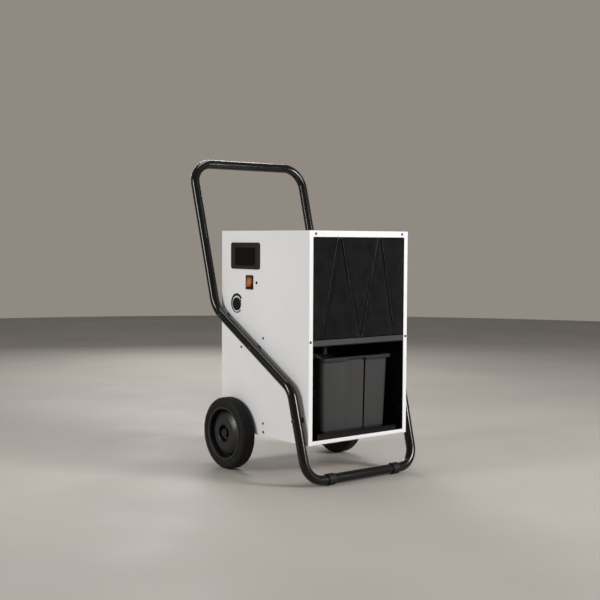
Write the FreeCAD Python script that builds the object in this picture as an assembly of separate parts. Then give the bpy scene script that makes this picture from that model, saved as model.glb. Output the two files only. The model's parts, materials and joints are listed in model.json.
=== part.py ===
import FreeCAD, Part
import math
import os
from FreeCAD import Vector

# Portable refrigerant dehumidifier on a wheeled tube frame.
# Millimetres, +Z up. Origin: on the floor, centre of the overall box.
# -Y is the filter side (front), -X is the control side.

# Casing
CASE_WIDTH = 400.0
CASE_DEPTH = 440.0
CASE_BOTTOM = 120.0
CASE_TOP = 750.0
FRONT = -275.0
REAR = FRONT + CASE_DEPTH
SIDE = CASE_WIDTH / 2
SHEET = 1.5
BEND = 3.0
FLANGE = 16.0
INNER = SIDE - SHEET
GAP = 0.1
FLANGE_EDGE = SIDE - FLANGE

# Front of the casing
TOP_FLANGE = 18.5
RAIL_LOW = 412.0
RAIL_HIGH = 428.0
LIP_HEIGHT = 12.0
FILTER_SIDE = FLANGE_EDGE - 0.8
FILTER_LOW = 430.0
FILTER_HIGH = CASE_TOP - TOP_FLANGE - 1.0
FOAM_FRONT = FRONT + 3.0
FOAM_THICK = 16.0
FRAME_THICK = 8.0
WIRE_R = 1.1
WIRE_ENDS = (-150.0, 148.0)
WIRE_TURNS = (-79.0, 3.0, 82.0)
WIRE_FLAT = 17.0

# Bucket bay
DECK_LOW = 409.0
BAY_BACK = -18.0
LINER_SIDE = INNER - 1.5
SHELF_TOP = 149.0
SHELF_SIDE = 160.0
BUCKET_X = 12.0
BUCKET_FRONT = -245.0
BUCKET_BACK = -32.0
BUCKET_TOP = 370.0
BUCKET_TOP_HALF = 137.0
BUCKET_BOTTOM_HALF = 129.0
BUCKET_DRAFT = 6.0
BUCKET_WALL = 3.0
RIM_OUT = 11.0
RIM_HEIGHT = 10.0
GROOVE_X = 49.0
GROOVE_WIDTH = 7.0
GROOVE_DEPTH = 4.0

# Carrying frame
TUBE_R = 14.5
TUBE_WALL = 1.5
TUBE_X = 221.8
FOOT_X = 216.5
HANDLE_X = 227.0
FOOT_Y = -293.0
FOOT_Z = 17.5
LOW_BEND = (-223.0, 282.6)
HIGH_BEND = (164.4, 502.0)
HANDLE = (296.0, 970.0)
FOOT_BEND_R = 62.0
LOW_BEND_R = 65.0
HIGH_BEND_R = 90.0
HANDLE_BEND_R = 70.0
SLEEVE_R = FOOT_Z
SLEEVE_IN = 117.0
SLEEVE_OUT = 143.0
SPACER_R = 9.0
BOLT_R = 3.0
SPACER_LOW_Z = 193.0
SPACER_MID_Y = -36.0
SPACER_HIGH_Y = 126.5

# Running gear
WHEEL_Y = 87.0
WHEEL_R = 113.0
WHEEL_HALF = 24.0
WHEEL_X = SIDE + 1.5 + WHEEL_HALF
SHOULDER_R = 14.0
RIM_R = 85.0
BEAD_R = 81.0
AXLE_R = 6.0
RUNNING = 0.05
BUSH_R = 11.0
BUSH_END = 22.0
BRACKET_X = 150.0

# Controls on the left panel, as (y, z)
BEZEL = (34.6, 672.25)
BEZEL_SIZE = (148.5, 82.5)
BEZEL_PROUD = 4.5
WINDOW = (32.0, 670.0)
WINDOW_SIZE = (105.0, 56.0)
SWITCH = (13.0, 590.5)
SWITCH_SIZE = (36.0, 44.0)
LAMP = (-22.0, 590.0)
LAMP_R = 4.5
KNOB = (79.5, 520.5)
KNOB_R = 20.5
KNOB_PROUD = 4.0
KNOB_NOTCHES = 24
DIAL_R = 31.0
DIAL_BORE_R = 25.0

# Cooling circuit and fan
COIL_SIDE = 160.0
COIL_LOW = 430.0
COIL_HIGH = 722.0
EVAPORATOR_Y = -215.0
CONDENSER_Y = -160.0
COIL_DEPTH = 40.0
TUBE_PITCH = 40.0
COIL_TUBE_R = 4.0
FIN_PITCH = 8.0
FIN_THICK = 0.6
FAN_Z = 560.0
FAN_R = 120.0
SHROUD_R = 126.0
SHROUD_Y = 118.0
GUARD_R = 140.0
COMPRESSOR = (60.0, 75.0)
COMPRESSOR_R = 68.0
COMPRESSOR_LOW = 146.0
COMPRESSOR_HIGH = 315.0
INLET = (-130.0, 215.0)


def box(x0, x1, y0, y1, z0, z1):
    return Part.makeBox(x1 - x0, y1 - y0, z1 - z0, Vector(x0, y0, z0))


def rod(start, end, radius):
    """Round bar between two points."""
    along = Vector(*end) - Vector(*start)
    return Part.makeCylinder(radius, along.Length, Vector(*start), along)


def fused(shapes):
    return shapes[0].multiFuse(shapes[1:]).removeSplitter()


def group(shapes):
    return Part.makeCompound(shapes)


def mirrored(shape):
    return shape.mirror(Vector(0, 0, 0), Vector(1, 0, 0))


def both_sides(shape):
    return group([shape, mirrored(shape)])


def corner_wire(points, radii, closed):
    """Straight runs joined by tangent arcs: one radius for each point, 0 for a sharp corner."""
    count = len(points)
    ends = []
    edges = []
    for i, point in enumerate(points):
        is_end = not closed and i in (0, count - 1)
        if is_end or radii[i] == 0:
            ends.append((point, point))
            continue
        back = (points[i - 1] - point).normalize()
        ahead = (points[(i + 1) % count] - point).normalize()
        half = back.getAngle(ahead) / 2
        reach = radii[i] / math.tan(half)
        middle = point + (back + ahead).normalize() * (radii[i] / math.sin(half) - radii[i])
        ends.append((point + back * reach, point + ahead * reach))
        edges.append(Part.Arc(ends[-1][0], middle, ends[-1][1]).toShape())
    for i in range(count if closed else count - 1):
        start = ends[i][1]
        end = ends[(i + 1) % count][0]
        if start.distanceToPoint(end) > 1e-4:
            edges.append(Part.makeLine(start, end))
    return Part.Wire(Part.__sortEdges__(edges))


def on_plane(plane, a, b, level):
    places = {"xy": (a, b, level), "xz": (a, level, b), "yz": (level, a, b)}
    return Vector(*places[plane])


def plate(plane, outline, radii, low, high):
    """A flat outline with rounded corners, thickened from low to high along the third axis."""
    if not isinstance(radii, (list, tuple)):
        radii = [radii] * len(outline)
    points = [on_plane(plane, a, b, low) for a, b in outline]
    face = Part.Face(corner_wire(points, radii, True))
    solid = face.extrude(on_plane(plane, 0, 0, high) - on_plane(plane, 0, 0, low))
    if solid.Volume < 0:
        solid.reverse()
    return solid


def rectangle(centre, size):
    a, b = centre
    w, h = size[0] / 2, size[1] / 2
    return [(a - w, b - h), (a + w, b - h), (a + w, b + h), (a - w, b + h)]


def turned(outline, radii, axis, centre):
    """Body of revolution: outline as (radius, distance along the axis)."""
    points = [Vector(r, 0, along) for r, along in outline]
    solid = Part.Face(corner_wire(points, radii, True)).revolve(Vector(), Vector(0, 0, 1), 360)
    if solid.Volume < 0:
        solid.reverse()
    if axis == "x":
        solid.rotate(Vector(), Vector(0, 1, 0), 90)
    if axis == "y":
        solid.rotate(Vector(), Vector(1, 0, 0), -90)
    solid.translate(Vector(*centre))
    return solid


def bent_bar(points, bend_radii, radius):
    """Round bar along straight runs and tangent bends."""
    places = [Vector(*p) for p in points]
    path = corner_wire(places, bend_radii, False)
    section = Part.makeCircle(radius, places[0], places[1] - places[0])
    return path.makePipeShell([Part.Wire([section])], True, False)


# Casing ------------------------------------------------------------------------------------

def side_sheet():
    """Right-hand panel: web, front flange, rear flange and a lip that the lid rests on."""
    outline = [(FLANGE_EDGE, FRONT), (SIDE, FRONT), (SIDE, REAR), (FLANGE_EDGE, REAR),
               (FLANGE_EDGE, REAR - SHEET), (INNER, REAR - SHEET), (INNER, FRONT + SHEET),
               (FLANGE_EDGE, FRONT + SHEET)]
    inside = BEND - SHEET
    sheet = plate("xy", outline, [0, BEND, BEND, 0, 0, inside, inside, 0], CASE_BOTTOM, CASE_TOP)
    lip = box(INNER - 12, INNER, FRONT + 8, REAR - 8, CASE_TOP - 2 * SHEET, CASE_TOP - SHEET)
    holes = [rod((INNER - 5, y, z), (SIDE + 5, y, z), BOLT_R + 0.2) for y, z in spacer_places()]
    holes += [rod((INNER - 5, y, z), (SIDE + 5, y, z), 2.2) for y, z in SIDE_SCREWS]
    holes.append(rod((SIDE - 8, FRONT - 1, RAIL_MIDDLE), (SIDE - 8, FRONT + 5, RAIL_MIDDLE), 2.2))
    return fused([sheet, lip]).cut(holes)


def side_panel_left():
    openings = [
        plate("yz", rectangle(BEZEL, (BEZEL_SIZE[0] - 10, BEZEL_SIZE[1] - 10)), 4, -SIDE - 2, -INNER + 2),
        plate("yz", rectangle(SWITCH, (SWITCH_SIZE[0] - 6, SWITCH_SIZE[1] - 6)), 1, -SIDE - 2, -INNER + 2),
        rod((-SIDE - 2, *LAMP), (-INNER + 2, *LAMP), LAMP_R - 1),
        rod((-SIDE - 2, *KNOB), (-INNER + 2, *KNOB), 6),
    ]
    return mirrored(side_sheet()).cut(openings)


def side_panel_right():
    return side_sheet()


def top_panel():
    """Lid that sits between the side panels, with a flange down the front."""
    lid = box(-INNER + GAP, INNER - GAP, FRONT + BEND, REAR - SHEET - GAP, CASE_TOP - SHEET, CASE_TOP)
    low = CASE_TOP - TOP_FLANGE
    fold = [(FRONT, low), (FRONT, CASE_TOP), (FRONT + 20, CASE_TOP), (FRONT + 20, CASE_TOP - SHEET),
            (FRONT + SHEET, CASE_TOP - SHEET), (FRONT + SHEET, low)]
    edge = FLANGE_EDGE - GAP
    flange = plate("yz", fold, [0, BEND, 0, 0, BEND - SHEET, 0], -edge, edge)
    z = CASE_TOP - 9
    holes = [rod((x, FRONT - 1, z), (x, FRONT + 5, z), 2.2) for x in (-174, 174)]
    return fused([lid, flange]).cut(holes)


def rear_panel():
    """Back plate behind the side flanges, with the outlet hole, vent slots and the inlet cut-out."""
    low, high = REAR - 2 * SHEET, REAR - SHEET
    sheet = box(-INNER + 2, INNER - 2, low, high, CASE_BOTTOM + SHEET, CASE_TOP - 2 * SHEET - GAP)
    tools = [rod((0, low - 1, FAN_Z), (0, high + 1, FAN_Z), SHROUD_R - 4)]
    for column in (-20, 90):
        for row in range(7):
            slot = rectangle((column, 180 + 22 * row), (80, 6))
            tools.append(plate("xz", slot, 2.9, low - 1, high + 1))
    tools.append(plate("xz", rectangle(INLET, (28, 20)), 2, low - 1, high + 1))
    tools += [rod((x, low - 1, z), (x, high + 1, z), 2.2) for x, z in REAR_SCREWS]
    return sheet.cut(tools)


def base_pan():
    floor = box(-INNER + GAP, INNER - GAP, FRONT + SHEET + GAP, REAR - 2 * SHEET - GAP,
                CASE_BOTTOM, CASE_BOTTOM + SHEET)
    edge = FLANGE_EDGE - GAP
    lip = [(FRONT, CASE_BOTTOM), (FRONT + 10, CASE_BOTTOM), (FRONT + 10, CASE_BOTTOM + SHEET),
           (FRONT + SHEET, CASE_BOTTOM + SHEET), (FRONT + SHEET, CASE_BOTTOM + LIP_HEIGHT),
           (FRONT, CASE_BOTTOM + LIP_HEIGHT)]
    front = plate("yz", lip, [BEND, 0, 0, BEND - SHEET, 0, 0], -edge, edge)
    return fused([floor, front])


def filter_rail():
    """Dark cross rail: front face between the flanges, tabs behind them, shelf under the filter."""
    edge = FLANGE_EDGE - GAP
    face = box(-edge, edge, FRONT + 0.3, FRONT + 2 * SHEET, RAIL_LOW, RAIL_HIGH)
    tabs = box(-INNER + 1, INNER - 1, FRONT + SHEET + GAP, FRONT + 2 * SHEET, RAIL_LOW + 2, RAIL_HIGH)
    shelf = box(-INNER + 1, INNER - 1, FRONT + SHEET + GAP, FRONT + 32, RAIL_HIGH - SHEET, RAIL_HIGH)
    holes = [rod((x, FRONT, RAIL_MIDDLE), (x, FRONT + 5, RAIL_MIDDLE), 2.2) for x in (-SIDE + 8, SIDE - 8)]
    return fused([face, tabs, shelf]).cut(holes)


def bay_deck():
    """Partition over the bucket bay, with the opening that the tray's sump drops through."""
    deck = box(-LINER_SIDE, LINER_SIDE, FRONT + 2 * SHEET + GAP, BAY_BACK + SHEET, DECK_LOW, DECK_LOW + SHEET)
    sump = box(SUMP[0] - GAP, SUMP[1] + GAP, SUMP[2] - GAP, SUMP[3] + GAP, DECK_LOW - 1, DECK_LOW + 3)
    return deck.cut(sump)


def bay_liner():
    """Black liner: back wall and two side walls round the bucket bay."""
    low, high = CASE_BOTTOM + SHEET, DECK_LOW - GAP
    back = box(-LINER_SIDE, LINER_SIDE, BAY_BACK, BAY_BACK + SHEET, low, high)
    right = box(LINER_SIDE - SHEET, LINER_SIDE, FRONT + 2 * SHEET + GAP, BAY_BACK + SHEET, low, high)
    clear = [rod((LINER_SIDE - 5, y, z), (LINER_SIDE + 5, y, z), 7) for y, z in spacer_places()[:2]]
    clear += [rod((LINER_SIDE - 5, y, z), (LINER_SIDE + 5, y, z), 2.4) for y, z in SIDE_SCREWS]
    right = right.cut(clear)
    return fused([back, right, mirrored(right)])


def bucket_shelf():
    """Folded shelf that the bucket stands on, its two ends and its front edge turned down."""
    outline = [(-SHELF_SIDE, CASE_BOTTOM + SHEET), (-SHELF_SIDE, SHELF_TOP), (SHELF_SIDE, SHELF_TOP),
               (SHELF_SIDE, CASE_BOTTOM + SHEET), (SHELF_SIDE - 2, CASE_BOTTOM + SHEET),
               (SHELF_SIDE - 2, SHELF_TOP - 2), (2 - SHELF_SIDE, SHELF_TOP - 2),
               (2 - SHELF_SIDE, CASE_BOTTOM + SHEET)]
    radii = [0, 6, 6, 0, 0, 4, 4, 0]
    shelf = plate("xz", outline, radii, FRONT + 6, BAY_BACK - 1)
    front = box(7 - SHELF_SIDE, SHELF_SIDE - 7, FRONT + 6, FRONT + 8, SHELF_TOP - 16, SHELF_TOP - 1)
    return fused([shelf, front])


# Filter ------------------------------------------------------------------------------------

def filter_foam():
    outline = [(-FILTER_SIDE, FILTER_LOW), (FILTER_SIDE, FILTER_LOW),
               (FILTER_SIDE, FILTER_HIGH), (-FILTER_SIDE, FILTER_HIGH)]
    return plate("xz", outline, 3, FOAM_FRONT, FOAM_FRONT + FOAM_THICK)


def filter_frame():
    """Plastic frame behind the pad, with ribs that the air passes between."""
    low, high = FOAM_FRONT + FOAM_THICK, FOAM_FRONT + FOAM_THICK + FRAME_THICK
    middle = (FILTER_LOW + FILTER_HIGH) / 2
    size = (2 * FILTER_SIDE, FILTER_HIGH - FILTER_LOW)
    frame = plate("xz", rectangle((0, middle), size), 3, low, high)
    cell_w = (size[0] - 16) / 4
    cell_h = (size[1] - 16) / 3
    cells = []
    for column in range(4):
        for row in range(3):
            centre = ((column - 1.5) * cell_w, middle + (row - 1) * cell_h)
            cells.append(plate("xz", rectangle(centre, (cell_w - 5, cell_h - 5)), 2, low - 1, high + 1))
    return frame.cut(cells)


def filter_wire():
    """Zigzag spring wire pressed into the face of the pad, with square ends to its turns."""
    low, high = FILTER_LOW + 3, FILTER_HIGH - 3
    y = FOAM_FRONT + 0.3
    points = [(WIRE_ENDS[0], y, low)]
    for i, x in enumerate(WIRE_TURNS):
        level = low if i % 2 else high
        points += [(x - WIRE_FLAT / 2, y, level), (x + WIRE_FLAT / 2, y, level)]
    points.append((WIRE_ENDS[1], y, low))
    return bent_bar(points, [0] + [4] * (len(points) - 2) + [0], WIRE_R)


# Bucket ------------------------------------------------------------------------------------

def bucket_shell(inset, low):
    """Tapered box between two rounded rectangles, drawn in by the inset."""
    wires = []
    for half, draft, z in ((BUCKET_BOTTOM_HALF, BUCKET_DRAFT, low), (BUCKET_TOP_HALF, 0, BUCKET_TOP)):
        outline = [(BUCKET_X - half + inset, BUCKET_FRONT + draft + inset),
                   (BUCKET_X + half - inset, BUCKET_FRONT + draft + inset),
                   (BUCKET_X + half - inset, BUCKET_BACK - draft - inset),
                   (BUCKET_X - half + inset, BUCKET_BACK - draft - inset)]
        points = [Vector(x, y, z) for x, y in outline]
        wires.append(corner_wire(points, [16 - inset] * 4, True))
    return Part.makeLoft(wires, True, True)


def bucket():
    """Drip bucket: tapered walls, turned-out rim, front groove and a finger recess under the rim."""
    shell = bucket_shell(0, SHELF_TOP)
    size = (2 * (BUCKET_TOP_HALF + RIM_OUT), BUCKET_BACK - BUCKET_FRONT + 2 * RIM_OUT)
    centre = (BUCKET_X, (BUCKET_FRONT + BUCKET_BACK) / 2)
    rim = plate("xy", rectangle(centre, size), 22, BUCKET_TOP - RIM_HEIGHT, BUCKET_TOP)
    inner_size = (size[0] - 2 * BUCKET_WALL, size[1] - 2 * BUCKET_WALL)
    under = plate("xy", rectangle(centre, inner_size), 19, BUCKET_TOP - RIM_HEIGHT - 1, BUCKET_TOP - 3)
    skirt = rim.cut(under)
    hollow = bucket_shell(BUCKET_WALL, SHELF_TOP + BUCKET_WALL)
    groove_half = GROOVE_WIDTH / 2
    groove = box(GROOVE_X - groove_half, GROOVE_X + groove_half, BUCKET_FRONT - 5,
                 BUCKET_FRONT + BUCKET_DRAFT + GROOVE_DEPTH, SHELF_TOP - 1, BUCKET_TOP - RIM_HEIGHT)
    backing = box(GROOVE_X - groove_half - BUCKET_WALL, GROOVE_X + groove_half + BUCKET_WALL,
                  BUCKET_FRONT + BUCKET_DRAFT, BUCKET_FRONT + BUCKET_DRAFT + GROOVE_DEPTH + BUCKET_WALL,
                  SHELF_TOP, BUCKET_TOP - RIM_HEIGHT + 4)
    open_bucket = fused([fused([shell, skirt]).cut(hollow), backing]).cut(groove)
    finger = box(BUCKET_X - 37, BUCKET_X + 33, BUCKET_FRONT - RIM_OUT - 1, BUCKET_FRONT - RIM_OUT + 8,
                 BUCKET_TOP - RIM_HEIGHT - 1, BUCKET_TOP - RIM_HEIGHT + 5)
    bore = rod((BUCKET_X - 20, FLOAT_Y, FLOAT_Z), (BUCKET_X + 20, FLOAT_Y, FLOAT_Z), 2.0)
    ears = [box(x, x + 4, FLOAT_Y - 5, BUCKET_BACK - 2, FLOAT_Z - 8, FLOAT_Z + 8) for x in
            (BUCKET_X - 18, BUCKET_X + 14)]
    return fused([open_bucket.cut(finger)] + ears).cut(bore)


def bucket_float():
    """Level float: an arm on a small pivot with a float block at its end."""
    arm = plate("yz", [(FLOAT_Y + 5, FLOAT_Z + 5), (FLOAT_Y + 5, FLOAT_Z - 5), (FLOAT_Y - 62, FLOAT_Z - 26),
                       (FLOAT_Y - 62, FLOAT_Z - 18)], [3.5, 3.5, 0, 0], BUCKET_X - 4, BUCKET_X + 4)
    block = plate("xy", rectangle((BUCKET_X, FLOAT_Y - 75), (56, 40)), 6, FLOAT_Z - 42, FLOAT_Z - 16)
    bore = rod((BUCKET_X - 20, FLOAT_Y, FLOAT_Z), (BUCKET_X + 20, FLOAT_Y, FLOAT_Z), 2.0 + RUNNING)
    return fused([arm, block]).cut(bore)


def float_pin():
    return rod((BUCKET_X - 18, FLOAT_Y, FLOAT_Z), (BUCKET_X + 18, FLOAT_Y, FLOAT_Z), 2.0)


def level_switch():
    """Micro-switch box on the bay's back wall, above the bucket's rim."""
    return plate("xz", rectangle((BUCKET_X, BUCKET_TOP + 17), (34, 18)), 2, BAY_BACK - 14, BAY_BACK)


# Cooling circuit -----------------------------------------------------------------------------

def coil_rows():
    first = COIL_LOW + 25
    return [first + TUBE_PITCH * i for i in range(int((COIL_HIGH - first) // TUBE_PITCH) + 1)]


def fins(centre_y):
    """Stack of upright fins, each pierced by the coil tubes."""
    half = COIL_DEPTH / 2
    holes = [rod((-COIL_SIDE, centre_y, z), (COIL_SIDE, centre_y, z), COIL_TUBE_R) for z in coil_rows()]
    fin = box(0, FIN_THICK, centre_y - half, centre_y + half, COIL_LOW, COIL_HIGH)
    pierced = fin.cut([hole.copy() for hole in holes])
    stack = []
    count = int(2 * (COIL_SIDE - 4) / FIN_PITCH)
    for i in range(count + 1):
        copy = pierced.copy()
        copy.translate(Vector(-COIL_SIDE + 4 + i * FIN_PITCH, 0, 0))
        stack.append(copy)
    return group(stack)


def coil_tube(centre_y):
    """Serpentine copper tube: straight passes joined by half-round return bends."""
    reach = COIL_SIDE + 4
    points = [(-reach, centre_y, coil_rows()[0])]
    for i, z in enumerate(coil_rows()):
        side = reach + TUBE_PITCH / 2 - 0.01
        outward = side if i % 2 == 0 else -side
        points.append((outward, centre_y, z))
        if i + 1 < len(coil_rows()):
            points.append((outward, centre_y, z + TUBE_PITCH))
    radius = TUBE_PITCH / 2 - 0.1
    return bent_bar(points, [radius] * len(points), COIL_TUBE_R - 0.05)


def coil_tubes():
    return group([coil_tube(EVAPORATOR_Y), coil_tube(CONDENSER_Y)])


def coil_plates():
    """End plates that hold both coils, standing on the deck."""
    low = DECK_LOW + SHEET
    front, back = EVAPORATOR_Y - COIL_DEPTH / 2 - 3, CONDENSER_Y + COIL_DEPTH / 2 + 6
    sheet = box(COIL_SIDE + 1, COIL_SIDE + 2.5, front, back, low, COIL_HIGH + 8)
    holes = [rod((COIL_SIDE - 1, y, z), (COIL_SIDE + 4, y, z), COIL_TUBE_R) for z in coil_rows()
             for y in (EVAPORATOR_Y, CONDENSER_Y)]
    return both_sides(sheet.cut(holes))


def drip_tray():
    """Tray under the evaporator with a sump and a spout that drains into the bucket."""
    front, back = EVAPORATOR_Y - COIL_DEPTH / 2 - 2, EVAPORATOR_Y + COIL_DEPTH / 2 + 4
    low = DECK_LOW + SHEET
    tray = box(-COIL_SIDE, COIL_SIDE, front, back, low, COIL_LOW - 2)
    sump = box(SUMP[0], SUMP[1], SUMP[2], SUMP[3], RAIL_LOW - 6, low + 1)
    hollow = box(2 - COIL_SIDE, COIL_SIDE - 2, front + 2, back - 2, low + 2, COIL_LOW)
    well = box(SUMP[0] + 2, SUMP[1] - 2, SUMP[2] + 2, SUMP[3] - 2, RAIL_LOW - 4, COIL_LOW)
    spout = rod((SPOUT[0], SPOUT[1], 380), (SPOUT[0], SPOUT[1], RAIL_LOW - 5), 11)
    bore = rod((SPOUT[0], SPOUT[1], 379), (SPOUT[0], SPOUT[1], RAIL_LOW), 8)
    return fused([tray, sump, spout]).cut([hollow, well, bore])


def compressor():
    x, y = COMPRESSOR
    shell = [(0, COMPRESSOR_LOW), (COMPRESSOR_R, COMPRESSOR_LOW), (COMPRESSOR_R, COMPRESSOR_HIGH), (0, COMPRESSOR_HIGH)]
    body = turned(shell, [0, 22, 34, 0], "z", (x, y, 0))
    seam = turned([(COMPRESSOR_R - 4, 238), (COMPRESSOR_R + 3, 238), (COMPRESSOR_R + 3, 244),
                   (COMPRESSOR_R - 4, 244)], [0, 1, 1, 0], "z", (x, y, 0))
    foot = plate("xy", rectangle(COMPRESSOR, (150, 130)), 18, COMPRESSOR_LOW - 4, COMPRESSOR_LOW + 1)
    holes = [rod((a, b, COMPRESSOR_LOW - 10), (a, b, COMPRESSOR_LOW + 10), 5) for a, b in foot_places()]
    return fused([body, seam, foot]).cut(holes)


def foot_places():
    x, y = COMPRESSOR
    return [(x + a * 63, y + b * 53) for a in (-1, 1) for b in (-1, 1)]


def compressor_mounts():
    """Rubber grommets with their studs, between the floor and the compressor's foot plate."""
    grommets = []
    for x, y in foot_places():
        outline = [(0, CASE_BOTTOM + SHEET), (11, CASE_BOTTOM + SHEET), (11, COMPRESSOR_LOW - 4),
                   (4.9, COMPRESSOR_LOW - 4), (4.9, COMPRESSOR_LOW + 1), (9, COMPRESSOR_LOW + 1),
                   (9, COMPRESSOR_LOW + 7), (0, COMPRESSOR_LOW + 7)]
        grommets.append(turned(outline, [0, 2, 2, 0, 0, 0, 2, 0], "z", (x, y, 0)))
    return group(grommets)


def discharge_pipe():
    x, y = COMPRESSOR
    top = COMPRESSOR_HIGH
    end = COIL_SIDE + 24.2
    points = [(x + 30, y, top), (x + 30, y, top + 30), (192, y, top + 30), (192, y, coil_rows()[-1]),
              (192, CONDENSER_Y, coil_rows()[-1]), (end, CONDENSER_Y, coil_rows()[-1])]
    return bent_bar(points, [0, 14, 14, 14, 7.5, 0], COIL_TUBE_R)


def suction_pipe():
    x, y = COMPRESSOR
    top = COMPRESSOR_HIGH
    last = coil_rows()[-1]
    points = [(x - 30, y, top), (x - 30, y, top + 57), (x - 30, y - 40, top + 57), (180, y - 40, top + 57),
              (180, y - 40, last - 20), (180, EVAPORATOR_Y, last - 20), (180, EVAPORATOR_Y, last - 4.2)]
    return bent_bar(points, [0, 16, 16, 16, 16, 12, 0], 5)


def refrigerant_pipes():
    return group([discharge_pipe(), suction_pipe()])


def filter_drier():
    """Copper drier shell with tapered ends, upright behind the bay's back wall."""
    outline = [(0, 200), (4, 200), (4, 210), (12, 222), (12, 300), (4, 312), (4, 322), (0, 322)]
    return turned(outline, [0, 0, 1, 4, 4, 1, 0, 0], "z", (-40, 30, 0))


def capillary_tube():
    """Coiled capillary above the drier: short runs joined by arcs, rising a little at each."""
    turns, steps, reach, rise = 4, 8, 24.0, 5.0
    points = []
    for i in range(turns * steps + 1):
        angle = 2 * math.pi * i / steps
        points.append((-40 + reach * math.cos(angle), 30 + reach * math.sin(angle), 332 + rise * i / steps))
    return bent_bar(points, [reach - 2] * len(points), 1.2)


def drier_and_capillary():
    return group([filter_drier(), capillary_tube()])


# Fan -----------------------------------------------------------------------------------------

def fan_motor():
    shell = turned([(0, 42), (40, 42), (40, 96), (14, 96), (14, 102), (0, 102)], [0, 6, 6, 0, 1, 0],
                   "y", (0, 0, FAN_Z))
    shaft = rod((0, 100, FAN_Z), (0, 132, FAN_Z), 4)
    return fused([shell, shaft])


def fan_bracket():
    """Flat bar across the motor, with two legs back to the shroud."""
    bar = box(-143, 143, 38, 42, FAN_Z - 14, FAN_Z + 14)
    leg = box(139, 143, 40, SHROUD_Y, FAN_Z - 14, FAN_Z + 14)
    return fused([bar, leg, mirrored(leg)])


def fan_rotor():
    """Hub and five pitched blades."""
    hub = turned([(4 + RUNNING, 106), (38, 106), (38, 130), (4 + RUNNING, 130)], [0, 0, 5, 0], "y", (0, 0, FAN_Z))
    parts = [hub]
    for i in range(5):
        sector = [(36, -11), (60, -34), (104, -42), (114, -36), (FAN_R, 0), (112, 34), (60, 18), (36, 11)]
        blade = plate("xz", sector, [0, 10, 10, 10, 10, 10, 10, 0], 117, 119.5)
        blade.rotate(Vector(0, 118, 0), Vector(1, 0, 0), 24)
        blade.rotate(Vector(), Vector(0, 1, 0), 72 * i)
        blade.translate(Vector(0, 4, FAN_Z))
        parts.append(blade)
    swept = turned([(0, 100), (FAN_R, 100), (FAN_R, 150), (0, 150)], [0] * 4, "y", (0, 0, FAN_Z))
    bore = rod((0, 90, FAN_Z), (0, 160, FAN_Z), 4 + RUNNING)
    return fused(parts).common(swept).cut(bore)


def fan_shroud():
    """Square plate with the round collar that the blades run in."""
    half = 150
    sheet = box(-half, half, SHROUD_Y, SHROUD_Y + 2, FAN_Z - half, FAN_Z + half)
    hole = rod((0, SHROUD_Y - 1, FAN_Z), (0, REAR, FAN_Z), SHROUD_R)
    high = REAR - 2 * SHEET
    collar = turned([(SHROUD_R, SHROUD_Y), (SHROUD_R + 3, SHROUD_Y), (SHROUD_R + 3, high), (SHROUD_R, high)],
                    [0] * 4, "y", (0, 0, FAN_Z))
    return fused([sheet.cut(hole), collar])


def outlet_guard():
    """Wire guard over the outlet: rings on four radial wires, with four feet on the rear panel."""
    y = REAR + 3
    front = Vector(0, y + 2.2, FAN_Z)
    rings = [Part.makeTorus(r, 1.6, front, Vector(0, 1, 0)) for r in range(20, 141, 15)]
    spokes = []
    for i in range(4):
        angle = math.radians(45 + 90 * i)
        c, s = math.cos(angle), math.sin(angle)
        spokes.append(rod((18 * c, y, FAN_Z + 18 * s), (GUARD_R * c, y, FAN_Z + GUARD_R * s), 1.6))
        foot = (GUARD_R * c, FAN_Z + GUARD_R * s)
        spokes.append(rod((foot[0], REAR - SHEET, foot[1]), (foot[0], y + 2.2, foot[1]), 4))
    return fused(rings + spokes)


# Electrics -------------------------------------------------------------------------------------

def control_box():
    """Folded steel box behind the controls, open towards the side panel."""
    outer = box(-INNER, -156, -58, 126, 490, 738)
    hollow = box(-INNER - 1, -157.2, -56.8, 124.8, 491.2, 736.8)
    return outer.cut(hollow)


def circuit_board():
    """Power board with its relay, transformer and terminals."""
    parts = [box(-162, -160.4, 62, 118, 560, 728)]
    parts += [box(-176, -162, 70, 98, 575, 603), box(-173, -162, 102, 114, 575, 603)]
    parts += [box(-174, -162, 68 + 16 * i, 80 + 16 * i, 620, 634) for i in range(3)]
    return fused(parts)


def run_capacitor():
    return turned([(0, 0), (15, 0), (15, 66), (0, 66)], [0, 3, 3, 0], "z", (-178, -36, 492))


def display_bezel():
    """Raised surround with a stepped recess for the window and a collar through the panel."""
    face = -SIDE - BEZEL_PROUD
    front = plate("yz", rectangle(BEZEL, BEZEL_SIZE), 8, face, -SIDE)
    edges = [e for e in front.Edges if e.BoundBox.XMax < face + 0.01]
    front = front.makeFillet(2.0, edges)
    collar = plate("yz", rectangle(BEZEL, (BEZEL_SIZE[0] - 11, BEZEL_SIZE[1] - 11)), 3.5, -SIDE, -SIDE + 9)
    step = plate("yz", rectangle(WINDOW, WINDOW_SIZE), 3, face - 1, -SIDE - 1.5)
    through = plate("yz", rectangle(WINDOW, (WINDOW_SIZE[0] - 8, WINDOW_SIZE[1] - 8)), 2, face, -SIDE + 10)
    return fused([front, collar]).cut([step, through])


def display_window():
    size = (WINDOW_SIZE[0] - 0.4, WINDOW_SIZE[1] - 0.4)
    return plate("yz", rectangle(WINDOW, size), 2.8, -SIDE - 3.2, -SIDE - 1.5)


def display_module():
    """Display glass on its small board, clipped behind the window."""
    glass = plate("yz", rectangle(WINDOW, (84, 36)), 1, -SIDE + 0.5, -SIDE + 4)
    board = plate("yz", rectangle(WINDOW, (95, 46)), 1, -SIDE + 4, -SIDE + 5.6)
    return fused([glass, board])


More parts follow.
